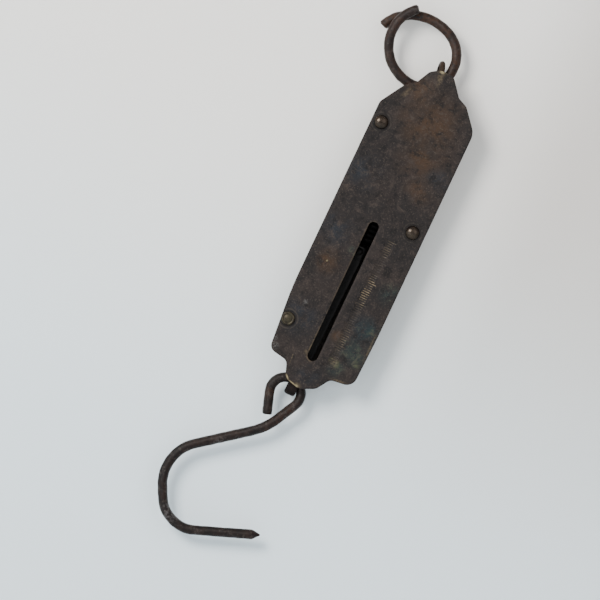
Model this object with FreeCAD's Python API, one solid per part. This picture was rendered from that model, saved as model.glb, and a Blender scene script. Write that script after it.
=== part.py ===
"""Hanging spring scale: a flat brass-faced balance with an open ring, a sprung drawbar and an S-hook.

The casing stands in a plane of its own while it is drawn: X to the right, Z up the graduated plate,
Y from the plate's front face to the back. Every piece is moved at export so that the row's origin is
the inside top of the ring, where the scale hangs. Lengths are millimetres.
"""
import FreeCAD, Part
import math
import os

Vector = FreeCAD.Vector

# ---- driving dimensions: casing
PLATE_THICK = 1.0
SHELL_THICK = 0.8
TROUGH_INNER_R = 7.0
TROUGH_BOTTOM_Z = -64.0
TROUGH_DOME_Z = 50.0           # centre of the rounded top end of the trough
AXIS_Y = 7.75                  # depth of the spring, drawbar, ring and hook behind the face
SLOT_WIDTH = 4.5
SLOT_TOP_Z = 3.2
SLOT_BOTTOM_Z = -61.0
SLOT_X = -0.7
SPRING_GAP_WIDTH = 6.0         # cut in the trough's top end for the spring's hook
SPRING_GAP_X = 0.4

# corners of the brass plate as (x, z, corner radius), anticlockwise from the lower tip
PLATE_CORNERS = [
    (-0.3, -73.9, 5.0), (6.4, -70.9, 5.0), (10.2, -64.9, 3.0), (20.0, -63.6, 4.6),
    (20.7, -40.0, 400.0), (20.6, 54.4, 8.0), (13.0, 63.3, 2.5), (8.7, 65.2, 3.0),
    (2.7, 72.6, 3.2), (-3.3, 72.6, 4.0), (-7.2, 70.1, 4.0), (-10.2, 64.0, 2.0),
    (-14.6, 60.4, 3.0), (-20.9, 50.0, 3.0), (-21.0, -36.0, 160.0), (-18.5, -63.7, 3.4),
    (-9.8, -65.2, 3.0), (-7.3, -72.0, 3.2)]
# corners of the back shell's flange, a little inside the plate and short of its two tips
FLANGE_CORNERS = [
    (19.3, -62.8, 4.2), (20.1, -40.0, 400.0), (20.0, 54.0, 8.0), (13.6, 61.4, 2.0),
    (-13.6, 60.6, 2.5), (-20.3, 50.0, 3.0), (-20.4, -36.0, 160.0), (-18.0, -62.8, 3.2)]

# ---- driving dimensions: rivets as name, x, z, dome height
RIVETS = [("rivet_top", -16.6, 42.3, 1.7), ("rivet_middle", 15.1, 5.8, 1.6), ("rivet_bottom", -16.8, -49.0, 1.0)]
RIVET_HEAD_R = 3.0
RIVET_SHANK_R = 1.6
RIVET_TAIL_R = 2.5
RIVET_TAIL_HEIGHT = 1.0

# ---- driving dimensions: spring
SPRING_WIRE_R = 1.0
COIL_R = 5.35                  # to the middle of the wire
COIL_WHOLE_TURNS = 28
COIL_TOP_ANGLE = 70.0          # degrees from +X towards +Y, where the wire leaves the coil
COIL_BOTTOM_ANGLE = 18.0
COIL_TURNS = COIL_WHOLE_TURNS + (COIL_TOP_ANGLE - COIL_BOTTOM_ANGLE) / 360
COIL_PITCH = 2.1
COIL_TOP_Z = 52.6
HOOK_BEND_R = 1.7
TOP_HOOK_LEAN = 12.0           # degrees, to the left
TOP_HOOK_CREST_Z = 76.6
TOP_HOOK_FREE_LEG = 7.0
TOP_HOOK_ROLL = 5.0            # degrees that the free leg stands to the left of the other
BOTTOM_HOOK_TURN = 185.0       # degrees, round under the pin

# ---- driving dimensions: drawbar, its pin and its pointer
STRAP_WIDTH = 4.8
STRAP_THICK = 1.2
STRAP_GAP = 4.6                # between the two legs
STRAP_TOP_Z = -8.6
STRAP_BOTTOM_Z = -78.0
STRAP_X = -1.65                # of its upper end
STRAP_LEAN = 1.1               # degrees, so that the eye sits to the left
PIN_Z = -10.8
PIN_R = 1.1
PIN_HEAD_R = 1.6
PIN_HEAD_HEIGHT = 0.7
POINTER_THICK = 0.6
POINTER_WIDTH = 2.5
POINTER_TIP_Y = 1.25
POINTER_TAIL_Z = -14.0

# ---- driving dimensions: ring, with its bends as (radius, degrees turned)
RING_WIRE_R = 2.0
RING_BOTTOM = (-11.5, 62.4)    # lowest point of the wire's middle
RING_LEFT_BENDS = [(17.4, 90.0), (15.5, 54.0)]                     # from the lowest point to the front end
RING_RIGHT_BENDS = [(12.5, 52.0), (13.9, 38.0)]                    # from the lowest point to the right side
RING_TOP_BENDS = [(13.8, 60.0), (20.9, 30.0), (21.0, 34.0), (15.0, 36.0)]   # from there to the back end
RING_SPLAY_FRONT = 4.9         # degrees that each end leaves the ring's plane, so that they cross
RING_SPLAY_BACK = 4.3

# ---- driving dimensions: S-hook
HOOK_WIRE_R = 2.0
HOOK_LOOP_CENTRE = (-4.5, -77.9)
HOOK_LOOP_R = 6.65
HOOK_LEG_HEADING = 108.7       # degrees from +X, of the short leg going up
HOOK_LEG_LENGTH = 9.9
HOOK_LOOP_TURN = 225.6
HOOK_SHANK = [("line", 9.0), ("arc", 27.9, -25.2), ("line", 24.5), ("arc", 17.7, 80.0), ("line", 4.8),
              ("arc", 14.3, 83.0), ("line", 24.7)]
HOOK_POINT_LENGTH = 3.0


class WireRoute:
    """A bent wire's centre line: straight runs and arcs that meet tangentially, in space."""

    def __init__(self, start, heading, side):
        self.place = Vector(start)
        self.heading = Vector(heading).normalize()
        self.side = Vector(side).normalize()
        self.edges = []

    def line(self, length):
        end = self.place + self.heading * length
        self.edges.append(Part.LineSegment(self.place, end).toShape())
        self.place = end
        return self

    def arc(self, radius, degrees):
        """Turn towards the side vector, or away from it if degrees is negative."""
        inward = self.side if degrees > 0 else self.side * -1
        centre = self.place + inward * radius
        angle = math.radians(abs(degrees))

        def point(turned):
            return centre - inward * (radius * math.cos(turned)) + self.heading * (radius * math.sin(turned))

        middle, end = point(angle / 2), point(angle)
        self.edges.append(Part.Arc(self.place, middle, end).toShape())
        new_heading = self.heading * math.cos(angle) + inward * math.sin(angle)
        new_inward = inward * math.cos(angle) - self.heading * math.sin(angle)
        self.place, self.heading = end, new_heading
        self.side = new_inward if degrees > 0 else new_inward * -1
        return self

    def roll(self, degrees):
        """Tilt the bending plane about the heading, so that the next arc leaves the last one's plane."""
        angle = math.radians(degrees)
        across = self.heading.cross(self.side)
        self.side = self.side * math.cos(angle) + across * math.sin(angle)
        return self

    def tube(self, radius):
        start = self.edges[0].valueAt(self.edges[0].FirstParameter)
        tangent = self.edges[0].tangentAt(self.edges[0].FirstParameter)
        section = Part.Wire(Part.Circle(start, tangent, radius).toShape())
        return Part.Wire(self.edges).makePipeShell([section], True, False)


def in_plate(x, z, y=0.0):
    return Vector(x, y, z)


def heading_in_plate(degrees):
    """Unit vector in the plate's plane, counted from +X towards +Z."""
    return Vector(math.cos(math.radians(degrees)), 0, math.sin(math.radians(degrees)))


def rounded_sheet(corners, front_y, thick):
    """A flat sheet whose outline is the polygon of corners with each corner rounded by its radius."""
    count = len(corners)
    points = [in_plate(x, z, front_y) for x, z, _ in corners]
    starts, middles, ends = [], [], []
    for i, (_, _, radius) in enumerate(corners):
        back = (points[i - 1] - points[i]).normalize()
        ahead = (points[(i + 1) % count] - points[i]).normalize()
        half = back.getAngle(ahead) / 2
        cut = radius / math.tan(half)
        middle_way = (back + ahead).normalize()
        starts.append(points[i] + back * cut)
        ends.append(points[i] + ahead * cut)
        middles.append(points[i] + middle_way * (radius / math.sin(half) - radius))
    edges = []
    for i in range(count):
        edges.append(Part.Arc(starts[i], middles[i], ends[i]).toShape())
        following = starts[(i + 1) % count]
        if (following - ends[i]).Length > 1e-6:
            edges.append(Part.LineSegment(ends[i], following).toShape())
    return Part.Face(Part.Wire(edges)).extrude(Vector(0, thick, 0))


def slot_block(half_width, low_z, high_z, x, front_y, depth):
    """A round-ended bar along Z, for the plate's slot."""
    low = in_plate(x, low_z + half_width, front_y)
    high = in_plate(x, high_z - half_width, front_y)
    body = Part.makeBox(2 * half_width, depth, high.z - low.z, in_plate(x - half_width, low.z, front_y))
    for end in (low, high):
        body = body.fuse(Part.makeCylinder(half_width, depth, end, Vector(0, 1, 0)))
    return body.removeSplitter()


def rivet_holes(front_y, depth):
    return [Part.makeCylinder(RIVET_SHANK_R, depth, in_plate(x, z, front_y), Vector(0, 1, 0))
            for _, x, z, _ in RIVETS]


def front_plate():
    plate = rounded_sheet(PLATE_CORNERS, 0, PLATE_THICK)
    plate = plate.cut(slot_block(SLOT_WIDTH / 2, SLOT_BOTTOM_Z, SLOT_TOP_Z, SLOT_X, -1, PLATE_THICK + 2))
    for hole in rivet_holes(-1, PLATE_THICK + 2):
        plate = plate.cut(hole)
    return plate


def trough_block(radius, bottom_z):
    """The space of the trough: a round-backed bar with a domed top, carried forward to the plate."""
    axis_bottom = Vector(0, AXIS_Y, bottom_z)
    length = TROUGH_DOME_Z - bottom_z
    block = Part.makeCylinder(radius, length, axis_bottom, Vector(0, 0, 1))
    block = block.fuse(Part.makeSphere(radius, Vector(0, AXIS_Y, TROUGH_DOME_Z)))
    forward = AXIS_Y - PLATE_THICK
    front = Part.makeBox(2 * radius, forward, length, Vector(-radius, PLATE_THICK, bottom_z))
    front = front.fuse(Part.makeCylinder(radius, forward, Vector(0, PLATE_THICK, TROUGH_DOME_Z), Vector(0, 1, 0)))
    behind_plate = Part.makeBox(60, 60, 200, Vector(-30, PLATE_THICK, -100))
    return block.fuse(front).common(behind_plate).removeSplitter()


def back_shell():
    outside = trough_block(TROUGH_INNER_R + SHELL_THICK, TROUGH_BOTTOM_Z)
    flange = rounded_sheet(FLANGE_CORNERS, PLATE_THICK, SHELL_THICK)
    shell = flange.fuse(outside).cut(trough_block(TROUGH_INNER_R, TROUGH_BOTTOM_Z - 5))
    gap_bottom = TROUGH_DOME_Z + 2.0
    gap = Part.makeBox(SPRING_GAP_WIDTH, 12, 10,
                       Vector(SPRING_GAP_X - SPRING_GAP_WIDTH / 2, AXIS_Y + 2.8, gap_bottom))
    shell = shell.cut(gap)
    for hole in rivet_holes(PLATE_THICK - 0.5, SHELL_THICK + 1):
        shell = shell.cut(hole)
    return shell.removeSplitter()


def dome(radius, height, base, outward):
    """A low domed head standing on a plane, as a slice of a sphere."""
    sphere_r = (radius ** 2 + height ** 2) / (2 * height)
    ball = Part.makeSphere(sphere_r, base - outward * (sphere_r - height))
    keep = Part.makeCylinder(radius + 1, height + 1, base, outward)
    return ball.common(keep)


def casing_rivet(x, z, head_height):
    front = in_plate(x, z, 0)
    back = in_plate(x, z, PLATE_THICK + SHELL_THICK)
    shank = Part.makeCylinder(RIVET_SHANK_R, back.y, front, Vector(0, 1, 0))
    head = dome(RIVET_HEAD_R, head_height, front, Vector(0, -1, 0))
    tail = dome(RIVET_TAIL_R, RIVET_TAIL_HEIGHT, back, Vector(0, 1, 0))
    return shank.fuse([head, tail]).removeSplitter()


def coil_end(degrees, z):
    """Place and upward heading of the coil's wire at an angle from +X towards +Y."""
    angle = math.radians(degrees)
    rise = COIL_PITCH / (2 * math.pi * COIL_R)
    place = Vector(COIL_R * math.cos(angle), AXIS_Y + COIL_R * math.sin(angle), z)
    return place, Vector(-math.sin(angle), math.cos(angle), rise).normalize()


def bent_towards(place, heading, goal):
    """A route that starts along heading and makes one tight bend to run along goal."""
    route = WireRoute(place, heading, goal - heading * goal.dot(heading))
    return route.arc(HOOK_BEND_R, math.degrees(heading.getAngle(goal)))


def spring():
    """Close-wound extension spring with a long open hook at the top and a half hook at the bottom."""
    bottom_z = COIL_TOP_Z - COIL_TURNS * COIL_PITCH
    low, low_heading = coil_end(COIL_BOTTOM_ANGLE, bottom_z)
    high, high_heading = coil_end(COIL_TOP_ANGLE, COIL_TOP_Z)
    helix = Part.makeHelix(COIL_PITCH, COIL_TURNS * COIL_PITCH, COIL_R)
    helix.rotate(Vector(0, 0, 0), Vector(0, 0, 1), COIL_BOTTOM_ANGLE)
    helix.translate(Vector(0, AXIS_Y, bottom_z))
    section = Part.Wire(Part.Circle(low, low_heading, SPRING_WIRE_R).toShape())
    coil = Part.Wire(helix.Edges).makePipeShell([section], True, True)

    lean = math.radians(TOP_HOOK_LEAN)
    top = bent_towards(high, high_heading, Vector(-math.sin(lean), 0, math.cos(lean)))
    top.side = Vector(0, -1, 0)
    top.roll(TOP_HOOK_ROLL)
    crest = TOP_HOOK_CREST_Z - SPRING_WIRE_R
    leg = (crest - top.place.z) / math.cos(lean) - COIL_R
    top.line(leg).arc(COIL_R, 180).line(TOP_HOOK_FREE_LEG)

    bottom = bent_towards(low, low_heading * -1, Vector(0, 0, -1))
    bottom.side = Vector(-1, 0, 0)
    bottom.arc(COIL_R, BOTTOM_HOOK_TURN)
    return coil.fuse([top.tube(SPRING_WIRE_R), bottom.tube(SPRING_WIRE_R)])


def leaned(shape):
    """Tilt a piece of the drawbar about the strap's upper end, and put it in its place."""
    shape.rotate(Vector(0, 0, STRAP_TOP_Z), Vector(0, 1, 0), STRAP_LEAN)
    shape.translate(Vector(STRAP_X, 0, 0))
    return shape


def drawbar():
    """A strap folded about its lower end into an eye, with its two legs side by side."""
    inner = STRAP_GAP / 2
    outer = inner + STRAP_THICK
    bend_z = STRAP_BOTTOM_Z + outer
    corner = Vector(-STRAP_WIDTH / 2, AXIS_Y - outer, bend_z)
    strap = Part.makeBox(STRAP_WIDTH, 2 * outer, STRAP_TOP_Z - bend_z, corner)
    side = Vector(-STRAP_WIDTH / 2, AXIS_Y, bend_z)
    strap = strap.fuse(Part.makeCylinder(outer, STRAP_WIDTH, side, Vector(1, 0, 0)))
    gap = Part.makeBox(STRAP_WIDTH + 2, STRAP_GAP, STRAP_TOP_Z - bend_z + 1,
                       Vector(-STRAP_WIDTH / 2 - 1, AXIS_Y - inner, bend_z))
    gap = gap.fuse(Part.makeCylinder(inner, STRAP_WIDTH + 2, side - Vector(1, 0, 0), Vector(1, 0, 0)))
    strap = strap.cut(gap).removeSplitter()
    long_edges = [edge for edge in strap.Edges if abs(abs(edge.CenterOfMass.x) - STRAP_WIDTH / 2) < 0.01
                  and edge.Length > 5]
    strap = strap.makeFillet(0.3, long_edges)
    hole = Part.makeCylinder(PIN_R, 4 * outer, Vector(0, AXIS_Y - 2 * outer, PIN_Z), Vector(0, 1, 0))
    return leaned(strap.cut(hole))


def strap_front_y():
    return AXIS_Y - STRAP_GAP / 2 - STRAP_THICK


def pointer():
    """A small angle piece on the front leg: its turned-over lip is what is read in the slot."""
    back_y = strap_front_y()
    height = STRAP_TOP_Z - POINTER_TAIL_Z
    tab = Part.makeBox(STRAP_WIDTH - 1.0, POINTER_THICK, height,
                       Vector(-(STRAP_WIDTH - 1.0) / 2, back_y - POINTER_THICK, POINTER_TAIL_Z))
    lip = Part.makeBox(POINTER_WIDTH, back_y - POINTER_TIP_Y, POINTER_THICK,
                       Vector(-POINTER_WIDTH / 2, POINTER_TIP_Y, STRAP_TOP_Z - POINTER_THICK))
    hole = Part.makeCylinder(PIN_R, 3, Vector(0, back_y - 2, PIN_Z), Vector(0, 1, 0))
    return leaned(tab.fuse(lip).cut(hole).removeSplitter())


def spring_pin():
    front_y = strap_front_y() - POINTER_THICK
    back_y = AXIS_Y + STRAP_GAP / 2 + STRAP_THICK
    front = Vector(0, front_y, PIN_Z)
    back = Vector(0, back_y, PIN_Z)
    shank = Part.makeCylinder(PIN_R, back_y - front_y, front, Vector(0, 1, 0))
    head = dome(PIN_HEAD_R, PIN_HEAD_HEIGHT, front, Vector(0, -1, 0))
    tail = dome(PIN_HEAD_R, PIN_HEAD_HEIGHT, back, Vector(0, 1, 0))
    return leaned(shank.fuse([head, tail]).removeSplitter())


def ring_route():
    """The ring's wire from its front end, down the left, under, up the right and over to its back end."""
    front = WireRoute(in_plate(*RING_BOTTOM, AXIS_Y), Vector(-1, 0, 0), Vector(0, 0, 1))
    front.roll(-RING_SPLAY_FRONT)
    for bend in RING_LEFT_BENDS:
        front.arc(*bend)
    route = WireRoute(front.place, front.heading * -1, front.side)
    for bend in reversed(RING_LEFT_BENDS):
        route.arc(*bend)
    route.side = Vector(0, 0, 1)
    for bend in RING_RIGHT_BENDS:
        route.arc(*bend)
    route.roll(-RING_SPLAY_BACK)
    for bend in RING_TOP_BENDS:
        route.arc(*bend)
    return route


def ring():
    return ring_route().tube(RING_WIRE_R)


def hook_route():
    heading = math.radians(HOOK_LEG_HEADING)
    loop_start = in_plate(HOOK_LOOP_CENTRE[0] - HOOK_LOOP_R * math.sin(heading),
                          HOOK_LOOP_CENTRE[1] + HOOK_LOOP_R * math.cos(heading), AXIS_Y)
    forward = heading_in_plate(HOOK_LEG_HEADING)
    route = WireRoute(loop_start - forward * HOOK_LEG_LENGTH, forward, heading_in_plate(HOOK_LEG_HEADING + 90))
    route.line(HOOK_LEG_LENGTH).arc(HOOK_LOOP_R, -HOOK_LOOP_TURN)
    for kind, *sizes in HOOK_SHANK:
        getattr(route, kind)(*sizes)
    return route


def s_hook():
    route = hook_route()
    point = Part.makeCone(HOOK_WIRE_R, 0.35, HOOK_POINT_LENGTH, route.place, route.heading)
    return route.tube(HOOK_WIRE_R).fuse(point)


def hang_point():
    """Inside top of the ring, in the casing's plane: the row's origin."""
    route = WireRoute(in_plate(*RING_BOTTOM, AXIS_Y), Vector(1, 0, 0), Vector(0, 0, 1))
    for bend in RING_RIGHT_BENDS + RING_TOP_BENDS[:2]:
        route.arc(*bend)
    return route.place - Vector(0, 0, RING_WIRE_R)


def pieces():
    made = {"front_plate": front_plate(), "back_shell": back_shell(), "spring": spring(), "drawbar": drawbar(),
            "pointer": pointer(), "spring_pin": spring_pin(), "ring": ring(), "s_hook": s_hook()}
    for name, x, z, height in RIVETS:
        made[name] = casing_rivet(x, z, height)
    return made


def main():
    os.makedirs("parts", exist_ok=True)
    origin = hang_point()
    print("origin in the casing's plane", origin)
    for name, shape in pieces().items():
        solids = shape.Solids
        shape = solids[0] if len(solids) == 1 else shape
        shape.translate(origin * -1)
        shape.exportStep("parts/" + name + ".step")
        print(name, "solids", len(solids), "valid", shape.isValid(), "volume", round(shape.Volume, 1),
              "box", shape.BoundBox)


main()
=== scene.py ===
"""Looks of the hanging spring scale: patinated brass face, rusty iron ring and hook, sheet-iron back.

Lengths are written in millimetres in the casing's own frame, as the CAD draws it: X right, Z up the
face, Y from the face to the back. place() turns them into the row frame in metres.
"""
import math

import bmesh
import bpy
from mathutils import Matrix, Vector, noise


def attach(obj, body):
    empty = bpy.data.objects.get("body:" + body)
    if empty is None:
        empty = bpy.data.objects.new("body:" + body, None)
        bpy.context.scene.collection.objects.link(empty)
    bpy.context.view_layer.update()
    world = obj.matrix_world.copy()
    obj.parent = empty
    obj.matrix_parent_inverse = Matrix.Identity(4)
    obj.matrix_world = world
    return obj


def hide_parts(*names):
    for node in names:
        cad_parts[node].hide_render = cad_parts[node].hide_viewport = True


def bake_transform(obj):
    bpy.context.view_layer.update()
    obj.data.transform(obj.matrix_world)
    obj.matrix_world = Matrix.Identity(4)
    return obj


MM = 0.001
HANG_POINT = Vector((-16.0532, 7.75, 88.5131))     # the row's origin in the casing's frame, mm
AXIS_Y = 7.75                                      # depth of the spring, ring and hook behind the face
ROLL_DEG = 25.27                                   # how far the scale leans to the right in the picture

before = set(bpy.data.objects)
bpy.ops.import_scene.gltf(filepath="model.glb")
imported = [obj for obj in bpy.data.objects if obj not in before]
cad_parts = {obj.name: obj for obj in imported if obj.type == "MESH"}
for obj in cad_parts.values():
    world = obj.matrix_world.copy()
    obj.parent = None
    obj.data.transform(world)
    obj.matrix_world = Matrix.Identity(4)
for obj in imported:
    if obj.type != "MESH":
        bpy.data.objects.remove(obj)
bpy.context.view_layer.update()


def place(x, y, z):
    """A point of the casing's frame in mm, in the row frame in metres."""
    return (Vector((x, y, z)) - HANG_POINT) * MM


def casing_mm(point):
    """The other way round."""
    return point / MM + HANG_POINT


# ---------------------------------------------------------------- mesh helpers

def new_object(name, bm, smooth_deg=35.0):
    mesh = bpy.data.meshes.new(name)
    bm.to_mesh(mesh)
    bm.free()
    mesh.shade_smooth()
    mesh.set_sharp_from_angle(angle=math.radians(smooth_deg))
    obj = bpy.data.objects.new(name, mesh)
    bpy.context.scene.collection.objects.link(obj)
    return obj


def apply_modifiers(obj):
    depsgraph = bpy.context.evaluated_depsgraph_get()
    mesh = bpy.data.meshes.new_from_object(obj.evaluated_get(depsgraph))
    obj.modifiers.clear()
    obj.data = mesh


def clean_copy(node):
    """The CAD node's mesh with its flat areas merged into single faces."""
    bm = bmesh.new()
    bm.from_mesh(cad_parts[node].data)
    bmesh.ops.remove_doubles(bm, verts=bm.verts, dist=1e-6)
    bmesh.ops.dissolve_limit(bm, angle_limit=math.radians(0.4), verts=bm.verts, edges=bm.edges)
    return bm


def bevelled(node, name, width_mm, segments=3, angle_deg=40.0):
    obj = new_object(name, clean_copy(node))
    bevel = obj.modifiers.new("bevel", "BEVEL")
    bevel.width = width_mm * MM
    bevel.segments = segments
    bevel.limit_method = "ANGLE"
    bevel.angle_limit = math.radians(angle_deg)
    bevel.use_clamp_overlap = True
    apply_modifiers(obj)
    return obj


def sliced(obj, step_mm):
    """Cut the mesh along a square lattice in X and Z, so that it has points to move everywhere."""
    bm = bmesh.new()
    bm.from_mesh(obj.data)
    lows = [min(v.co[k] for v in bm.verts) for k in range(3)]
    highs = [max(v.co[k] for v in bm.verts) for k in range(3)]
    for axis in (0, 2):
        normal = Vector((0, 0, 0))
        normal[axis] = 1
        count = int((highs[axis] - lows[axis]) / (step_mm * MM))
        for i in range(1, count + 1):
            spot = Vector((0, 0, 0))
            spot[axis] = lows[axis] + i * step_mm * MM + 1e-5
            bmesh.ops.bisect_plane(bm, geom=bm.verts[:] + bm.edges[:] + bm.faces[:], dist=1e-7,
                                   plane_co=spot, plane_no=normal)
    bm.to_mesh(obj.data)
    bm.free()
    return obj


def moved(obj, shift):
    """Move every point by shift(point in casing mm), which gives a vector in mm."""
    for v in obj.data.vertices:
        v.co += shift(casing_mm(v.co)) * MM
    obj.data.update()
    return obj


def finish_piece(obj, node, body, material, smooth_deg=35.0):
    if material not in list(obj.data.materials):
        obj.data.materials.clear()
        obj.data.materials.append(material)
    obj.data.shade_smooth()
    obj.data.set_sharp_from_angle(angle=math.radians(smooth_deg))
    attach(obj, body)
    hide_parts(node)
    return obj


# ---------------------------------------------------------------- bent wire

WIRE_STEP_MM = 0.55


class Wire:
    """A wire's centre line as closely set points, drawn with tangent lines and arcs."""

    def __init__(self, start, heading, side):
        self.points = [Vector(start)]
        self.heading = Vector(heading).normalized()
        self.side = Vector(side).normalized()

    def line(self, length):
        start = self.points[-1]
        count = max(1, round(length / WIRE_STEP_MM))
        self.points += [start + self.heading * (length * i / count) for i in range(1, count + 1)]
        return self

    def arc(self, radius, degrees):
        """Turn towards the side vector, or away from it if degrees is negative."""
        inward = self.side if degrees > 0 else -self.side
        heading, start = self.heading, self.points[-1]
        angle = math.radians(abs(degrees))
        count = max(2, round(radius * angle / WIRE_STEP_MM))
        for i in range(1, count + 1):
            a = angle * i / count
            sideways, forward = radius * (1 - math.cos(a)), radius * math.sin(a)
            self.points.append(start + inward * sideways + heading * forward)
        self.heading = heading * math.cos(angle) + inward * math.sin(angle)
        turned = inward * math.cos(angle) - heading * math.sin(angle)
        self.side = turned if degrees > 0 else -turned
        return self

    def roll(self, degrees):
        angle = math.radians(degrees)
        self.side = self.side * math.cos(angle) + self.heading.cross(self.side) * math.sin(angle)
        return self


def tube(name, points, radius_at, around=28):
    """A closed skin round the points. radius_at(step, count, point on the skin) is in mm."""
    bm = bmesh.new()
    count = len(points)
    tangents = [(points[min(i + 1, count - 1)] - points[max(i - 1, 0)]).normalized() for i in range(count)]
    across = tangents[0].orthogonal().normalized()
    rings = []
    for i, point in enumerate(points):
        across = (across - tangents[i] * across.dot(tangents[i])).normalized()
        other = tangents[i].cross(across)
        ring = []
        for k in range(around):
            a = 2 * math.pi * k / around
            out = across * math.cos(a) + other * math.sin(a)
            ring.append(bm.verts.new(place(*(point + out * radius_at(i, count, point + out * 2)))))
        rings.append(ring)
    for one, two in zip(rings, rings[1:]):
        for k in range(around):
            bm.faces.new((one[k], one[(k + 1) % around], two[(k + 1) % around], two[k]))
    bm.faces.new(list(reversed(rings[0])))
    bm.faces.new(rings[-1])
    bmesh.ops.recalc_face_normals(bm, faces=bm.faces)
    return new_object(name, bm, 50.0)


def corroded(point, depth, size_mm, seed):
    """How much rust has eaten away at a point, from 0 to depth."""
    coarse = noise.fractal(point / size_mm + Vector((seed, 0, 0)), 0.8, 2.1, 4)
    return depth * min(1.0, max(0.0, 0.5 + coarse))


def rounded_end(i, count, radius, edge):
    """The radius near a cut wire's two ends, where the rim is rounded over by edge."""
    from_end = min(i, count - 1 - i) * WIRE_STEP_MM
    if from_end >= edge:
        return radius
    return radius - edge + math.sqrt(max(0.0, edge ** 2 - (edge - from_end) ** 2))


# ---------------------------------------------------------------- materials

SLOT_X = -0.7                  # of the slot in the face
SLOT_BOTTOM_Z = -61.0
SLOT_TOP_Z = 3.2
SLOT_HALF_WIDTH = 2.25


class Nodes:
    """A material's node tree with short calls for what these materials need."""

    def __init__(self, name):
        self.material = bpy.data.materials.new(name)
        self.material.use_nodes = True
        self.tree = self.material.node_tree
        self.shader = self.tree.nodes["Principled BSDF"]
        self.coords = self.add("ShaderNodeTexCoord").outputs["Object"]

    def add(self, kind, **settings):
        node = self.tree.nodes.new(kind)
        for key, value in settings.items():
            setattr(node, key, value)
        return node

    def plug(self, value, socket):
        if isinstance(value, bpy.types.NodeSocket):
            self.tree.links.new(value, socket)
        elif isinstance(value, tuple) and len(value) == 3 and socket.type == "RGBA":
            socket.default_value = (*value, 1.0)
        else:
            socket.default_value = value

    def math(self, operation, a, b=0.0, clamp=False):
        node = self.add("ShaderNodeMath", operation=operation, use_clamp=clamp)
        self.plug(a, node.inputs[0])
        self.plug(b, node.inputs[1])
        return node.outputs[0]

    def stretched(self, sx, sy, sz):
        node = self.add("ShaderNodeMapping")
        self.plug(self.coords, node.inputs["Vector"])
        node.inputs["Scale"].default_value = (sx, sy, sz)
        return node.outputs[0]

    def noise(self, scale, detail=4.0, rough=0.55, vector=None, warp=0.0):
        node = self.add("ShaderNodeTexNoise")
        self.plug(vector or self.coords, node.inputs["Vector"])
        node.inputs["Scale"].default_value = scale
        node.inputs["Detail"].default_value = detail
        node.inputs["Roughness"].default_value = rough
        node.inputs["Distortion"].default_value = warp
        return node.outputs["Fac"]

    def between(self, value, low, high):
        """0 below low, 1 above high, smooth in between."""
        node = self.add("ShaderNodeMapRange", interpolation_type="SMOOTHSTEP")
        self.plug(value, node.inputs["Value"])
        node.inputs["From Min"].default_value = low
        node.inputs["From Max"].default_value = high
        return node.outputs["Result"]

    def mix(self, amount, a, b):
        node = self.add("ShaderNodeMix", data_type="RGBA")
        self.plug(amount, node.inputs["Factor"])
        self.plug(a, node.inputs["A"])
        self.plug(b, node.inputs["B"])
        return node.outputs["Result"]

    def near(self, x, y, z, radius_mm, soft=0.6):
        """1 close to a point of the casing's frame, 0 beyond the radius."""
        node = self.add("ShaderNodeVectorMath", operation="DISTANCE")
        self.plug(self.coords, node.inputs[0])
        node.inputs[1].default_value = place(x, y, z)
        return self.between(self.math("DIVIDE", node.outputs["Value"], radius_mm * MM), 1.0, 1.0 - soft)

    def streak(self, x, z, half_length_mm, half_width_mm, angle_deg):
        """1 along the middle of a long spot on the face, 0 outside it. The angle is from +X towards +Z."""
        node = self.add("ShaderNodeMapping", vector_type="TEXTURE")
        self.plug(self.coords, node.inputs["Vector"])
        node.inputs["Location"].default_value = place(x, 0, z)
        node.inputs["Rotation"].default_value = (0, -math.radians(angle_deg), 0)
        node.inputs["Scale"].default_value = (half_length_mm * MM, 1.0, half_width_mm * MM)
        length = self.add("ShaderNodeVectorMath", operation="LENGTH")
        self.plug(node.outputs[0], length.inputs[0])
        return self.between(length.outputs["Value"], 1.0, 0.1)

    def patches(self, places, soft, strength, texture, low, high):
        """The spots of places, broken up by a texture that counts from low to high."""
        mask = 0.0
        for x, z, radius in places:
            mask = self.math("MAXIMUM", mask, self.near(x, 0, z, radius, soft))
        broken = self.math("MULTIPLY", mask, self.between(texture, low, high))
        return self.math("MULTIPLY", broken, strength)

    def bump(self, height, distance_mm, strength=1.0, under=None):
        node = self.add("ShaderNodeBump")
        node.inputs["Strength"].default_value = strength
        node.inputs["Distance"].default_value = distance_mm * MM
        self.plug(height, node.inputs["Height"])
        if under:
            self.plug(under, node.inputs["Normal"])
        return node.outputs["Normal"]

    def set(self, **values):
        for key, value in values.items():
            self.plug(value, self.shader.inputs[key.replace("_", " ")])
        return self.material


TONE_GAIN = 0.30               # the picture's tone curve lifts dark colours by about this much


def srgb(r, g, b):
    """A surface colour from the 0-255 values that it should have in the picture."""
    return tuple(TONE_GAIN * ((c / 255 + 0.055) / 1.055) ** 2.4 for c in (r, g, b))


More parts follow.
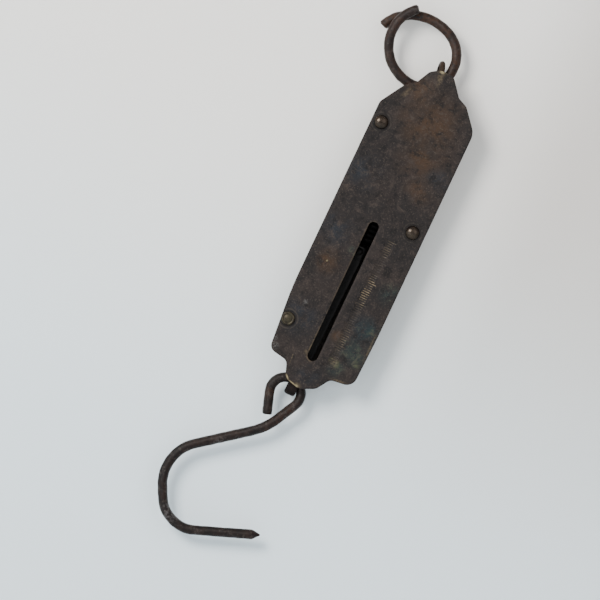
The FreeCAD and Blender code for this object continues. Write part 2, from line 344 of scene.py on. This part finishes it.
# places on the face as x, z, radius in mm of the casing's frame
# brown patina patches; the last two are a painted highlight on the crease at the upper left
BROWN_PATCHES_AND_CREASE_SHEEN = [(2, 50, 19), (6, 36, 15), (-6, 61, 9), (10, 24, 9), (-12, -20, 8), (5, -47, 4),
                 (-12, 61, 3.5), (-9.5, 63, 3)]
BLUE_PATCHES = [(-15, -5, 12), (-14, 20, 11), (-13, -46, 11), (15, 30, 8), (0, -66, 8), (14, -40, 9)]
VERDIGRIS = [(14, -50, 10), (16, -40, 8), (18, -22, 7), (10, -59, 6), (-4, -12, 4)]
GREENISH_SPOTS = [(9.6, -57.9, 2.6), (17.4, -54.6, 2.4), (6.8, -56.8, 1.6)]
WORN_SPOTS = [(-1.4, -72.9, 2.4), (-1.8, 72.8, 3.0), (-3.9, -58.4, 1.6), (8.2, -57.4, 3.0)]
BRIGHT_SPOTS = [(-1.6, -73.4, 1.3), (-2.4, 72.2, 1.5), (-12.5, -20, 0.7)]
SCUFFS = [(-13.2, -39.5, 1.6), (-17.0, -61.4, 2.4), (-18.2, -58.6, 1.5)]
TIP_STREAKS = [(-6.65, -71.35, 1.9, 0.5, -46), (-3.6, -72.8, 3.0, 0.5, -15)]
# long worn places as x, z, half length, half width, angle from +X; the second is a painted highlight along
# the crease at the upper left
WORN_STREAKS_AND_CREASE_SHEEN = [(-2.2, 70.0, 6.0, 1.9, 98), (-12.1, 58.4, 5.2, 1.5, 64), (13.5, -63.8, 5.0, 0.8, 8),
                (19.6, -46, 9.0, 0.6, 91), (-8.3, -63.6, 4.2, 0.4, 95)]


def slot_rim_wear_and_sheen(n, texture):
    """Where the slot's left lip and lower end are lightened: rubbed brass and a painted reflection on the
    lip, which faces right. 0 from three quarters of a mm away.
    """
    at = n.add("ShaderNodeSeparateXYZ")
    n.plug(n.coords, at.inputs[0])
    across = n.math("SUBTRACT", at.outputs["X"], place(SLOT_X, 0, 0).x)
    low, high = (place(0, 0, z).z for z in (SLOT_BOTTOM_Z + SLOT_HALF_WIDTH, SLOT_TOP_Z - SLOT_HALF_WIDTH))
    along = n.math("ABSOLUTE", n.math("SUBTRACT", at.outputs["Z"], (low + high) / 2))
    beyond = n.math("MAXIMUM", n.math("SUBTRACT", along, (high - low) / 2), 0.0)
    away = n.math("SQRT", n.math("ADD", n.math("POWER", across, 2.0), n.math("POWER", beyond, 2.0)))
    close = n.between(away, (SLOT_HALF_WIDTH + 0.75) * MM, (SLOT_HALF_WIDTH + 0.3) * MM)
    # painted reflection: only the left lip, which faces right, is lightened
    left = n.between(across, 1.2 * MM, -0.8 * MM)
    end = n.between(at.outputs["Z"], place(0, 0, -46).z, place(0, 0, -58).z)
    lower = n.math("ADD", n.math("MULTIPLY", end, 0.45), 0.2)
    side = n.math("MULTIPLY", n.math("MULTIPLY", left, lower), n.between(texture, 0.34, 0.56))
    return n.math("MULTIPLY", close, side)


def rivet_marks(n, colour, mottled):
    """Darker colour in the hollow round each rivet and a lighter ring round that."""
    for x, z in RIVETS.values():
        colour = n.mix(n.math("MULTIPLY", n.near(x, 0, z, 5.4, 0.3), 0.6), colour, srgb(44, 38, 36))
        rim = n.math("SUBTRACT", n.near(x, 0, z, 4.7, 0.16), n.near(x, 0, z, 4.2, 0.16), clamp=True)
        rim = n.math("MULTIPLY", rim, n.between(mottled, 0.42, 0.58))
        colour = n.mix(n.math("MULTIPLY", rim, 0.6), colour, srgb(126, 115, 105))
    return colour


def bare_places(n, worn, fine, mottled):
    """Where the brass is rubbed to the metal: named spots and streaks, turned edges and the slot's rim, with
    a painted highlight along the crease and a painted reflection on the slot's left lip.
    """
    bare_and_sheen = n.patches(WORN_SPOTS, 0.98, 0.6, worn, 0.30, 0.66)
    for streak in WORN_STREAKS_AND_CREASE_SHEEN:
        patchy = n.math("MULTIPLY", n.between(worn, 0.30, 0.60), n.between(fine, 0.28, 0.56))
        rubbed = n.math("MULTIPLY", n.streak(*streak), patchy)
        bare_and_sheen = n.math("MAXIMUM", bare_and_sheen, n.math("MULTIPLY", rubbed, 0.6))
    facing = n.add("ShaderNodeSeparateXYZ")
    n.plug(n.add("ShaderNodeNewGeometry").outputs["Normal"], facing.inputs[0])
    tilted = n.between(n.math("ABSOLUTE", facing.outputs["Y"]), 0.97, 0.6)
    rubbed = n.math("MULTIPLY", tilted, n.between(mottled, 0.40, 0.58))
    bare_and_sheen = n.math("MAXIMUM", bare_and_sheen, n.math("MULTIPLY", rubbed, 0.55))
    return n.math("MAXIMUM", bare_and_sheen, slot_rim_wear_and_sheen(n, mottled))


def brass_face():
    """Brass gone nearly black, warm in patches, with verdigris low on the right and wear on the edges."""
    n = Nodes("brass_face_patina")
    broad = n.noise(45.0, 5.0, 0.6, warp=0.4)
    mottled = n.noise(260.0, 6.0, 0.7, warp=0.4)
    fine = n.noise(1300.0, 5.0, 0.75)
    cloudy = n.noise(110.0, 6.0, 0.7)
    scratches = n.noise(1.0, 3.0, 0.5, vector=n.stretched(2200.0, 500.0, 110.0))

    colour = n.mix(n.between(broad, 0.35, 0.65), srgb(62, 55, 54), srgb(79, 67, 63))
    # brown patina, with a painted highlight on the crease at the upper left
    colour = n.mix(n.patches(BROWN_PATCHES_AND_CREASE_SHEEN, 0.95, 0.9, cloudy, 0.28, 0.62), colour, srgb(110, 81, 57))
    colour = n.mix(n.patches(BLUE_PATCHES, 0.95, 0.85, cloudy, 0.35, 0.6), colour, srgb(58, 66, 76))
    colour = n.mix(n.patches(VERDIGRIS, 0.95, 0.5, cloudy, 0.36, 0.6), colour, srgb(52, 84, 84))
    colour = n.mix(n.patches(VERDIGRIS, 0.8, 0.6, mottled, 0.52, 0.66), colour, srgb(100, 134, 104))
    colour = n.mix(n.math("MULTIPLY", n.between(mottled, 0.50, 0.36), 0.78), colour, srgb(38, 34, 34))
    colour = n.mix(n.math("MULTIPLY", n.between(mottled, 0.53, 0.66), 0.7), colour, srgb(109, 94, 86))
    colour = n.mix(n.math("MULTIPLY", n.between(fine, 0.52, 0.66), 0.6), colour, srgb(130, 114, 103))
    colour = rivet_marks(n, colour, mottled)
    worn = n.noise(500.0, 5.0, 0.7)
    bare_and_sheen = bare_places(n, worn, fine, mottled)
    colour = n.mix(n.patches(GREENISH_SPOTS, 0.95, 0.85, worn, 0.34, 0.60), colour, srgb(122, 126, 96))
    # rubbed brass, with the painted crease highlight and the painted reflection on the slot's lip
    colour = n.mix(bare_and_sheen, colour, srgb(172, 150, 116))
    colour = n.mix(n.patches(SCUFFS, 0.9, 0.8, fine, 0.42, 0.60), colour, srgb(150, 146, 143))
    for streak in TIP_STREAKS:
        colour = n.mix(n.streak(*streak), colour, srgb(236, 214, 164))
    for x, z, radius in BRIGHT_SPOTS:
        spot = n.math("MULTIPLY", n.near(x, 0, z, radius, 0.9), n.between(worn, 0.34, 0.56))
        colour = n.mix(spot, colour, srgb(236, 216, 168))
    marks = n.math("MULTIPLY", n.between(scratches, 0.64, 0.74), 0.25)
    colour = n.mix(marks, colour, srgb(130, 118, 106))

    dents = n.bump(n.noise(60.0, 3.0, 0.5), 0.5, 0.6)
    grain = n.bump(n.math("ADD", mottled, n.math("MULTIPLY", fine, 0.6)), 0.12, 0.8, dents)
    rough = n.math("SUBTRACT", n.math("MULTIPLY", mottled, 0.3), n.math("MULTIPLY", bare_and_sheen, 0.1))
    return n.set(Base_Color=colour, Metallic=0.5, Roughness=n.math("ADD", rough, 0.38),
                 Specular_IOR_Level=0.3, Normal=n.bump(marks, 0.03, 0.6, grain))


RUBBED_TICKS = [(-25, 10, 1.0), (-47, 9, 0.3), (-4, 8, 0.25)]       # height, radius, strength


def tick_metal():
    """The bottoms of the engraved divisions: brass where thumbs have rubbed, dark elsewhere."""
    n = Nodes("tick_brass")
    patchy = n.between(n.noise(420.0, 4.0, 0.7), 0.38, 0.60)
    colour = n.mix(n.noise(700.0, 3.0), srgb(62, 55, 51), srgb(98, 87, 78))
    for z, radius, strength in RUBBED_TICKS:
        rubbed = n.math("MULTIPLY", n.near(9, 0, z, radius, 0.9), patchy)
        colour = n.mix(n.math("MULTIPLY", rubbed, strength), colour, srgb(198, 174, 134))
    return n.set(Base_Color=colour, Metallic=0.5, Roughness=n.math("ADD", n.noise(900.0), -0.05),
                 Specular_IOR_Level=0.3)


# rust, and rubbed metal with painted highlights, as x, z, radius in mm of the casing's frame
RING_RUST = [(-17, 91, 5), (-22, 90, 3.5), (-8, 88, 4), (-28, 80, 2.5), (-31, 84, 4), (1, 78, 4), (3, 84, 5)]
HOOK_RUST = [(-1, -89, 4), (-10.5, -80, 4), (0.5, -84, 4), (-5, -95, 3)]
HOOK_WEAR_AND_HIGHLIGHTS = [(-27, -144, 7), (-29, -136, 5), (-19, -110, 6), (-24, -118, 5)]
SHELL_RUST = [(8, 20, 14), (-10, -40, 16), (3, 45, 9)]
# heights between which the metal goes over to old grease and painted shade: near-black inside the casing, so
# the slot looks dark
SPRING_GREASE_AND_SHADE = (66, 56)
STRAP_GREASE_AND_SHADE = (-71, -66)


def iron(name, dark, light, rust_spots, rust_share, seed, scrapes=0.5, grease_and_shade_heights=None, grease_and_shade_colour=None, gloss=0.22,
         wear_and_highlights=()):
    """Old iron: brown-grey skin with pits, orange rust at rust_spots, pale scrapes, and at given spots pale
    grey rubbed metal with painted highlights.

    Between two given heights it goes over to near-black old grease with painted shade, so the parts inside
    the casing look dark through the slot, and stays so beyond them.
    """
    n = Nodes(name)
    shifted = n.add("ShaderNodeMapping")
    n.plug(n.coords, shifted.inputs["Vector"])
    shifted.inputs["Location"].default_value = (seed, seed * 0.7, 0)
    broad = n.noise(90.0, 5.0, 0.6, vector=shifted.outputs[0], warp=0.8)
    pits = n.noise(700.0, 5.0, 0.65, vector=shifted.outputs[0])
    fine = n.noise(2200.0, 3.0, 0.6, vector=shifted.outputs[0])
    colour = n.mix(n.between(broad, 0.36, 0.64), dark, light)
    colour = n.mix(n.math("MULTIPLY", n.between(pits, 0.50, 0.38), 0.7), colour, srgb(34, 27, 26))
    rust = n.math("MULTIPLY", n.between(broad, 0.62, 0.74), rust_share)
    for x, z, radius in rust_spots:
        spot = n.math("MULTIPLY", n.near(x, AXIS_Y, z, radius, 0.9), n.between(pits, 0.40, 0.60))
        rust = n.math("MAXIMUM", rust, spot)
    orange = n.mix(n.between(fine, 0.4, 0.65), srgb(92, 60, 42), srgb(128, 86, 56))
    colour = n.mix(n.math("MULTIPLY", rust, 0.75), colour, orange)
    rubbed = n.between(n.noise(420.0, 5.0, 0.75, vector=shifted.outputs[0]), 0.51, 0.66)
    colour = n.mix(n.math("MULTIPLY", rubbed, scrapes), colour, srgb(124, 111, 104))
    # painted highlight: pale grey on rubbed metal at the given spots, standing in for the gloss the hook
    # catches
    bare_and_sheen = 0.0
    for x, z, radius in wear_and_highlights:
        bare_and_sheen = n.math("MAXIMUM", bare_and_sheen, n.near(x, AXIS_Y, z, radius, 0.8))
    bare_and_sheen = n.math("MULTIPLY", bare_and_sheen, n.between(pits, 0.46, 0.58))
    colour = n.mix(n.math("MULTIPLY", bare_and_sheen, 0.8), colour, srgb(148, 142, 140))
    rough = n.math("ADD", n.math("MULTIPLY", pits, 0.3), n.math("MULTIPLY", rust, 0.25))
    rough = n.math("SUBTRACT", rough, n.math("MULTIPLY", bare_and_sheen, 0.2))
    skin = n.bump(n.math("ADD", pits, n.math("MULTIPLY", fine, 0.4)), 0.22, 0.9, n.bump(broad, 0.5, 0.6))
    # painted shade: near-black past the given height, partly old grease, partly the shade deep inside the
    # casing
    if grease_and_shade_heights:
        height = n.add("ShaderNodeSeparateXYZ")
        n.plug(n.coords, height.inputs[0])
        start, full = (place(0, 0, z).z for z in grease_and_shade_heights)
        colour = n.mix(n.between(height.outputs["Z"], start, full), colour, grease_and_shade_colour)
    return n.set(Base_Color=colour, Metallic=0.1, Roughness=n.math("ADD", rough, 0.30),
                 Specular_IOR_Level=gloss, Normal=skin)


def rivet_metal():
    """Browned brass, rubbed bright on the crown."""
    n = Nodes("rivet_brass")
    mottled = n.noise(500.0, 5.0, 0.65)
    fine = n.noise(2500.0, 3.0, 0.6)
    colour = n.mix(n.between(mottled, 0.38, 0.62), srgb(60, 51, 45), srgb(104, 86, 68))
    depth = n.add("ShaderNodeSeparateXYZ")
    n.plug(n.coords, depth.inputs[0])
    crown = n.between(depth.outputs["Y"], place(0, -0.6, 0).y, place(0, -1.5, 0).y)
    colour = n.mix(n.math("MULTIPLY", crown, n.between(fine, 0.35, 0.6)), colour, srgb(108, 93, 80))
    x, z = RIVETS["rivet_bottom"]
    colour = n.mix(n.math("MULTIPLY", n.near(x, 0, z, 4.5, 0.2), n.between(mottled, 0.35, 0.6)), colour,
                   srgb(106, 98, 76))
    skin = n.bump(n.math("ADD", mottled, n.math("MULTIPLY", fine, 0.4)), 0.08, 0.7)
    dull = n.math("MULTIPLY", n.near(x, 0, z, 4.5, 0.2), 0.22)
    rough = n.math("ADD", n.math("MULTIPLY", mottled, 0.25), n.math("ADD", dull, 0.12))
    return n.set(Base_Color=colour, Metallic=0.8, Roughness=rough, Specular_IOR_Level=0.6, Normal=skin)


# ---------------------------------------------------------------- brass face

RIVETS = {"rivet_top": (-16.6, 42.3), "rivet_middle": (15.1, 5.8), "rivet_bottom": (-16.8, -49.0)}
# the pressed hollow round each rivet: name, radius, depth
DISHES = [("rivet_top", 5.2, 0.35), ("rivet_middle", 4.4, 0.18), ("rivet_bottom", 4.4, 0.12)]
TICK_COUNT = 61
TICK_TOP_Z = -1.6
TICK_PITCH = 0.97
TICK_HALF_WIDTH = 0.16
TICK_DEPTH = 0.10


def bell(distance):
    """1 at 0 and falling smoothly to 0 at 1."""
    d = min(1.0, abs(distance))
    return (1 - d * d) ** 2


def face_shift(p):
    """The hand-beaten face: bulged over the spring's hook, creased beside it, dished at the rivets."""
    out = 0.35 * bell((p.x + 1.5) / 6) * bell((p.z - 66) / 13)
    out -= 0.30 * bell((p.x + 14.5 - (p.z - 52) * 0.5) / 2.2) * bell((p.z - 58) / 10)
    out += 0.22 * noise.fractal(p / 26 + Vector((3, 1, 7)), 0.9, 2.0, 3)
    for name, radius, depth in DISHES:
        x, z = RIVETS[name]
        far = math.hypot(p.x - x, p.z - z)
        if far > 3.2:
            out -= depth * bell((far - 3.2) / (radius - 3.2) - 0.1)
    return Vector((0, -out, 0))


def tick_cutter():
    """Wedges standing a little proud of the face, one for each division."""
    bm = bmesh.new()
    for i in range(TICK_COUNT):
        z = TICK_TOP_Z - TICK_PITCH * i
        middle = 8.5 - 0.9 * i / TICK_COUNT
        half = {0: 2.6, 5: 1.9}.get(i % 10, 1.5)
        half += 0.15 * noise.noise(Vector((i * 1.7, 0.3, 0)))
        slant = 0.08 * noise.noise(Vector((i * 2.3, 4.1, 0)))
        y = face_shift(Vector((middle, 0, z))).y
        low, high = y - 0.5, y + TICK_DEPTH
        wide = TICK_HALF_WIDTH * (0.5 + TICK_DEPTH) / TICK_DEPTH
        corners = []
        for x, dz in ((middle - half, -slant), (middle + half, slant)):
            outline = ((low, wide), (low, -wide), (high, 0))
            corners.append([bm.verts.new(place(x, depth, z + dz + up)) for depth, up in outline])
        one, two = corners
        bm.faces.new(one)
        bm.faces.new(list(reversed(two)))
        for a, b in ((0, 1), (1, 2), (2, 0)):
            bm.faces.new((one[b], one[a], two[a], two[b]))
    bmesh.ops.recalc_face_normals(bm, faces=bm.faces)
    return new_object("tick_cutter", bm)


def make_face(material, tick_material):
    face = sliced(bevelled("front_plate", "face_plate", 0.32, 3), 1.4)
    moved(face, face_shift)
    cutter = tick_cutter()
    cutter.data.materials.append(tick_material)
    face.data.materials.clear()
    face.data.materials.append(material)
    cut = face.modifiers.new("ticks", "BOOLEAN")
    cut.object = cutter
    cut.operation = "DIFFERENCE"
    cut.solver = "EXACT"
    cut.material_mode = "TRANSFER"
    apply_modifiers(face)
    bpy.data.objects.remove(cutter)
    return finish_piece(face, "front_plate", "casing", material, 28.0)


# ---------------------------------------------------------------- rivets

HEAD_PROFILES = {   # radius, height of the turned head, from its brim to its crown
    "rivet_top": [(3.0, 0.0), (2.98, 0.35), (2.75, 0.75), (2.3, 1.15), (1.7, 1.45), (1.0, 1.63),
                  (0.4, 1.69)],
    "rivet_middle": [(3.0, 0.0), (2.95, 0.3), (2.65, 0.75), (2.1, 1.15), (1.4, 1.42), (0.7, 1.55),
                     (0.3, 1.59)],
    "rivet_bottom": [(3.0, 0.0), (2.95, 0.45), (2.7, 0.72), (2.2, 0.78), (1.85, 0.6), (1.55, 0.74),
                     (0.8, 0.95), (0.3, 0.98)]}
TAIL_PROFILE = [(1.6, 0.0), (2.5, 0.0), (2.45, 0.3), (2.1, 0.7), (1.4, 0.93), (0.6, 1.0)]
SHELL_BACK_Y = 1.8
AROUND_RIVET = 40


def turned(bm, x, z, profile, y_of):
    """A skin of revolution about an axis along Y, closed at its last ring."""
    rings = []
    for radius, height in profile:
        ring = []
        for k in range(AROUND_RIVET):
            a = 2 * math.pi * k / AROUND_RIVET
            worn = 1 - 0.03 * (0.5 + 0.5 * noise.noise(Vector((math.cos(a), math.sin(a), height * 2 + x))))
            ring.append(bm.verts.new(place(x + radius * worn * math.cos(a), y_of(height * worn),
                                           z + radius * worn * math.sin(a))))
        rings.append(ring)
    for one, two in zip(rings, rings[1:]):
        for k in range(AROUND_RIVET):
            bm.faces.new((one[k], one[(k + 1) % AROUND_RIVET], two[(k + 1) % AROUND_RIVET], two[k]))
    bm.faces.new(rings[-1])
    return rings[0]


def make_rivet(name, material):
    x, z = RIVETS[name]
    bm = bmesh.new()
    head = turned(bm, x, z, HEAD_PROFILES[name], lambda height: -height)
    tail = turned(bm, x, z, TAIL_PROFILE, lambda height: SHELL_BACK_Y + height)
    for k in range(AROUND_RIVET):
        bm.faces.new((head[k], head[(k + 1) % AROUND_RIVET], tail[(k + 1) % AROUND_RIVET], tail[k]))
    bmesh.ops.recalc_face_normals(bm, faces=bm.faces)
    rivet = new_object(name + "_turned", bm)
    return finish_piece(rivet, name, "casing", material, 50.0)


# ---------------------------------------------------------------- ring and hook

WIRE_R = 2.15                  # of the ring and hook, with their rust
EATEN = 0.13                   # how deep corrosion goes

def make_ring(material):
    splay_front, splay_back = 4.9, 4.3
    left_bends = [(17.4, 90.0), (15.5, 54.0)]
    right_bends = [(12.5, 52.0), (13.9, 38.0)]
    top_bends = [(13.8, 60.0), (20.9, 30.0), (21.0, 34.0), (15.0, 36.0)]
    bottom = (-11.5, AXIS_Y, 62.4)
    front = Wire(bottom, (-1, 0, 0), (0, 0, 1)).roll(-splay_front)
    for bend in left_bends:
        front.arc(*bend)
    back = Wire(bottom, (1, 0, 0), (0, 0, 1))
    for bend in right_bends:
        back.arc(*bend)
    back.roll(-splay_back)
    for bend in top_bends:
        back.arc(*bend)
    points = list(reversed(front.points)) + back.points[1:]

    def radius_at(i, count, at):
        return rounded_end(i, count, WIRE_R, 0.8) - corroded(at, EATEN, 2.6, 1.5)

    ring = tube("hanging_ring", points, radius_at)
    return finish_piece(ring, "ring", "ring", material, 50.0)


def make_hook(material):
    centre, loop_r, heading_deg, leg, tip, point_r = (-4.5, -77.9), 6.65, 108.7, 9.9, 3.0, 0.35
    a = math.radians(heading_deg)
    ahead = Vector((math.cos(a), 0, math.sin(a)))
    left = Vector((-math.sin(a), 0, math.cos(a)))
    loop_start = Vector((centre[0], AXIS_Y, centre[1])) + left * loop_r
    wire = Wire(loop_start - ahead * leg, ahead, left)
    wire.line(leg).arc(loop_r, -225.6).line(9.0).arc(27.9, -25.2).line(24.5).arc(17.7, 80.0).line(4.8)
    wire.arc(14.3, 83.0).line(24.7).line(tip)

    def radius_at(i, count, at):
        wire_r = rounded_end(i, count, WIRE_R, 0.6) if i < count / 2 else WIRE_R
        from_tip = (count - 1 - i) * WIRE_STEP_MM
        if from_tip < tip:
            wire_r = point_r + (WIRE_R - point_r) * from_tip / tip
        return wire_r - corroded(at, EATEN, 3.0, 8.2) * min(1.0, wire_r)

    hook = tube("load_hook", wire.points, radius_at)
    return finish_piece(hook, "s_hook", "hook", material, 50.0)


# ---------------------------------------------------------------- spring

SPRING_WIRE_R = 0.99
CREST_EXTRA_R = 0.22           # the hook's crest, in sight above the face, is rusted thicker

def make_spring(material):
    coil_r, pitch, turns, bend_r, crest_z = 5.35, 2.1, 28 + 52 / 360, 1.7, 76.6
    low_deg, top_z, lean = 18.0, 52.6, math.radians(12.0)
    bottom_z = top_z - turns * pitch
    steps = int(turns * 30)
    rise = pitch / (2 * math.pi * coil_r)

    def on_coil(t):
        a = math.radians(low_deg) + 2 * math.pi * turns * t
        height = bottom_z + turns * pitch * t
        return Vector((coil_r * math.cos(a), AXIS_Y + coil_r * math.sin(a), height)), a

    def bend(point, heading, goal):
        wire = Wire(point, heading, goal - heading * goal.dot(heading))
        return wire.arc(bend_r, math.degrees(heading.angle(goal)))

    low, a_low = on_coil(0)
    high, a_high = on_coil(1)
    tangent_low = Vector((-math.sin(a_low), math.cos(a_low), rise)).normalized()
    tangent_high = Vector((-math.sin(a_high), math.cos(a_high), rise)).normalized()
    top = bend(high, tangent_high, Vector((-math.sin(lean), 0, math.cos(lean))))
    top.side = Vector((0, -1, 0))
    top.roll(5.0)
    top.line((crest_z - 1.0 - top.points[-1].z) / math.cos(lean) - coil_r).arc(coil_r, 180).line(7.0)
    bottom = bend(low, -tangent_low, Vector((0, 0, -1)))
    bottom.side = Vector((-1, 0, 0))
    bottom.arc(coil_r, 185)
    coil = [on_coil(i / steps)[0] for i in range(steps + 1)]
    points = list(reversed(bottom.points))[:-1] + coil + top.points[1:]

    def radius_at(i, count, at):
        crest = min(1.0, max(0.0, (at.z - 70.5) / 2.0))
        return rounded_end(i, count, SPRING_WIRE_R, 0.4) + CREST_EXTRA_R * crest

    spring = tube("coil_spring", points, radius_at, 12)
    spring.data.materials.append(material)
    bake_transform(spring)
    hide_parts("spring")
    return spring


# ---------------------------------------------------------------- the other pieces

def make_shell(material):
    shell = sliced(bevelled("back_shell", "back_shell_pressed", 0.22, 2), 3.0)

    def shift(p):
        dented = 0.12 * noise.fractal(p / 18 + Vector((9, 2, 4)), 0.9, 2.0, 3)
        follow = face_shift(p) if p.y < 2.0 else Vector((0, 0, 0))
        return follow + Vector((0, -abs(dented) if p.y > 12 else 0, 0))

    moved(shell, shift)
    return finish_piece(shell, "back_shell", "casing", material)


def make_strap(material):
    """The drawbar's folded strap, with the corners of its eye worn round."""
    strap = sliced(bevelled("drawbar", "drawbar_strap", 0.12, 2), 0.5)
    foot = [casing_mm(v.co) for v in strap.data.vertices]
    bottom = min(p.z for p in foot)
    sides = [p.x for p in foot if p.z < bottom + 2]
    corner, reach = 1.1, 2.6       # radius of the corners, and how far up the strap they are felt

    def shift(p):
        inward = corner - min(p.x - min(sides), max(sides) - p.x)
        if inward <= 0 or p.z > bottom + reach:
            return Vector((0, 0, 0))
        lift = corner - math.sqrt(max(0.0, corner ** 2 - inward ** 2))
        return Vector((0, 0, lift * (1 - (p.z - bottom) / reach)))

    moved(strap, shift)
    return finish_piece(strap, "drawbar", "drawbar", material)


def make_fitting(node, name, bevel_mm, material):
    piece = bevelled(node, name, bevel_mm, 2)
    return finish_piece(piece, node, "drawbar", material)


# ---------------------------------------------------------------- camera, light and stage

METRES_ACROSS = 0.252          # what the picture's 600 pixels span at the face
CAMERA_DISTANCE = 2.5
VIEW_CENTRE = (-15.58, -39.87)  # x, z of the casing's frame at the picture's middle


def turned_axes():
    a = math.radians(ROLL_DEG)
    return Vector((math.cos(a), 0, math.sin(a))), Vector((-math.sin(a), 0, math.cos(a)))


def make_camera():
    data = bpy.data.cameras.new("camera")
    data.sensor_width = 36.0
    data.lens = 36.0 * CAMERA_DISTANCE / METRES_ACROSS
    data.clip_start, data.clip_end = 0.05, 20.0
    camera = bpy.data.objects.new("camera", data)
    bpy.context.scene.collection.objects.link(camera)
    aim = place(VIEW_CENTRE[0], 0, VIEW_CENTRE[1])
    camera.location = aim - Vector((0, CAMERA_DISTANCE, 0))
    camera.rotation_euler = (math.radians(90), -math.radians(ROLL_DEG), 0)
    bpy.context.scene.camera = camera


def area_light(name, direction, distance, size, watts, tint=(1.0, 1.0, 1.0)):
    data = bpy.data.lights.new(name, "AREA")
    data.shape = "DISK"
    data.size = size
    data.energy = watts
    data.color = tint
    light = bpy.data.objects.new(name, data)
    bpy.context.scene.collection.objects.link(light)
    aim = place(-5, 0, -20)
    direction = direction.normalized()
    light.location = aim + direction * distance
    light.rotation_euler = direction.to_track_quat("Z", "Y").to_euler()


def make_lights():
    right, up = turned_axes()
    front = Vector((0, -1, 0))
    area_light("key", up * 0.42 - right * 0.42 + front * 0.80, 1.3, 0.55, 17.0, (1.0, 0.985, 0.96))
    area_light("fill", right * 0.5 + up * 0.2 + front * 0.85, 1.5, 1.2, 5.0)
    area_light("behind", Vector((-0.08, 1.0, 0.12)), 1.6, 0.5, 30.0)
    world = bpy.data.worlds.new("soft_room")
    world.use_nodes = True
    background = world.node_tree.nodes["Background"]
    background.inputs["Color"].default_value = (0.95, 0.97, 1.0, 1.0)
    background.inputs["Strength"].default_value = 0.58
    bpy.context.scene.world = world


def flat_sheet(name, corners, material):
    bm = bmesh.new()
    bm.faces.new([bm.verts.new(c) for c in corners])
    sheet = new_object(name, bm)
    sheet.data.materials.append(material)
    return sheet


def paper(name, one_sided):
    """Matt off-white, with painted shade that darkens it to the right and a painted cooler light that turns
    it bluish lower down. The one-sided kind can be looked through from behind, for views of the back.
    """
    n = Nodes(name)
    height = n.add("ShaderNodeSeparateXYZ")
    n.plug(n.coords, height.inputs[0])
    wavy = n.math("ADD", height.outputs["Z"], n.math("MULTIPLY", n.noise(3.0, 2.0), 0.05))
    lower = n.between(wavy, 0.0, -0.2)
    # painted shade and light: darker to the right, and cooler and bluish lower down, as the light falls on
    # the backdrop
    right = n.between(height.outputs["X"], place(10, 0, 0).x, place(70, 0, 0).x)
    painted_light_tone = n.mix(right, (0.99, 0.95, 0.90), (0.70, 0.655, 0.61))
    painted_light_tone = n.mix(lower, painted_light_tone, (0.86, 0.955, 1.0))
    n.set(Base_Color=painted_light_tone, Roughness=0.85)
    if one_sided:
        clear = n.add("ShaderNodeBsdfTransparent")
        either = n.add("ShaderNodeMixShader")
        n.plug(n.add("ShaderNodeNewGeometry").outputs["Backfacing"], either.inputs[0])
        n.plug(n.shader.outputs[0], either.inputs[1])
        n.plug(clear.outputs[0], either.inputs[2])
        n.plug(either.outputs[0], n.tree.nodes["Material Output"].inputs["Surface"])
    return n.material


def make_stage():
    y, low, wide, high = 0.0086, -0.33, 1.2, 1.0
    wall = flat_sheet("backdrop", [(-wide, y, low), (wide, y, low), (wide, y, high), (-wide, y, high)],
                      paper("backdrop_paper", True))
    wall.visible_shadow = False
    wall.visible_diffuse = False
    reach = 3
    corners = [(-reach, -reach, low), (reach, -reach, low), (reach, reach, low), (-reach, reach, low)]
    flat_sheet("floor", corners, paper("floor_paper", False))


# ---------------------------------------------------------------- everything in its place

def main():
    make_face(brass_face(), tick_metal())
    rivet_brass = rivet_metal()
    for name in RIVETS:
        make_rivet(name, rivet_brass)
    make_ring(iron("ring_iron", srgb(62, 44, 38), srgb(93, 64, 50), RING_RUST, 0.6, 0.11, 0.4))
    make_hook(iron("hook_iron", srgb(42, 31, 28), srgb(68, 47, 39), HOOK_RUST, 0.6, 0.37, 0.6,
                   gloss=0.2, wear_and_highlights=HOOK_WEAR_AND_HIGHLIGHTS))
    # the spring goes near-black inside the casing: old grease and painted shade
    make_spring(iron("spring_steel", srgb(82, 67, 59), srgb(118, 98, 85), [], 0.6, 0.83, 0.15,
                     SPRING_GREASE_AND_SHADE, srgb(10, 9, 9), 0.02))
    make_shell(iron("sheet_iron", srgb(74, 66, 60), srgb(108, 96, 86), SHELL_RUST, 0.8, 0.19, 0.7))
    # the strap goes darker inside the casing: old grease and painted shade
    strap = iron("strap_iron", srgb(38, 28, 26), srgb(54, 39, 34), [], 0.5, 0.63, 0.15,
                 STRAP_GREASE_AND_SHADE, srgb(30, 26, 25), 0.12)
    make_strap(strap)
    make_fitting("pointer", "pointer_lip", 0.1, strap)
    make_fitting("spring_pin", "spring_pin_turned", 0.08, strap)
    make_camera()
    make_lights()
    make_stage()


main()
